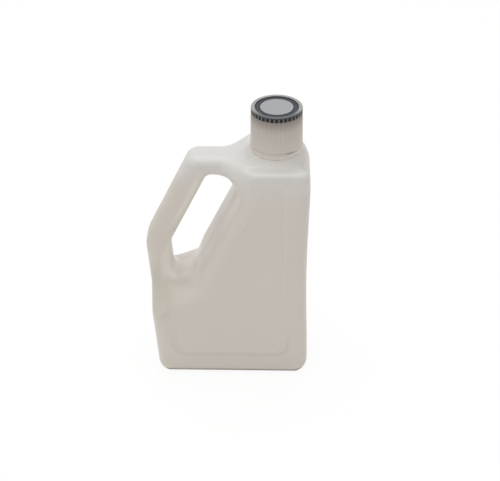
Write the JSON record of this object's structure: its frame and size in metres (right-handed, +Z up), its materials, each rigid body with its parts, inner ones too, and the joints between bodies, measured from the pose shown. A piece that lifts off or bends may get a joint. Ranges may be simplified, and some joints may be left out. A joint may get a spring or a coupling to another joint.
{
  "type": "sewing machine oil bottle",
  "caption": "Flat-sided milky blown bottle with a hollow side handle, a label panel, an offset neck and a tall ribbed screw cap with a grey top, for oil.",
  "frame": {"origin": "middle of the base on the table, half way between the outer bend of the handle and the plain side", "axes": "+Z up along the neck, +X from the handle towards the neck side, -Y out of the label face"},
  "size_m": [0.162, 0.09, 0.287],
  "materials": {
    "natural_hdpe": "milky, slightly translucent blown plastic with a soft sheen",
    "natural_pp": "milky moulded plastic, satin",
    "slate_plastic": "slate grey moulded plastic, satin",
    "pale_grey_plastic": "pale grey moulded plastic, satin",
    "liner_foam": "white foamed sealing wad, matt"
  },
  "bodies": {
    "bottle": {"bottle": "natural_hdpe", "tamper_band": "natural_pp"},
    "liner": {"seal_liner": "liner_foam"},
    "cap": {"cap_shell": "natural_pp", "cap_cover": "slate_plastic", "cap_disc": "pale_grey_plastic"}
  },
  "joints": [
    {"name": "cap_lift", "type": "slide", "parent": "bottle", "child": "liner", "axis": [0, 0, 1], "range_m": [0, 0.0262]},
    {"name": "cap_turn", "type": "hinge", "parent": "liner", "child": "cap", "pos_m": [0.048, 0, 0.26], "axis": [0, 0, 1], "range_deg": [0, 936]}
  ],
  "couplings": [
    {"joint": "cap_lift", "follows": "cap_turn", "m_per_rad": 0.0015915}
  ]
}
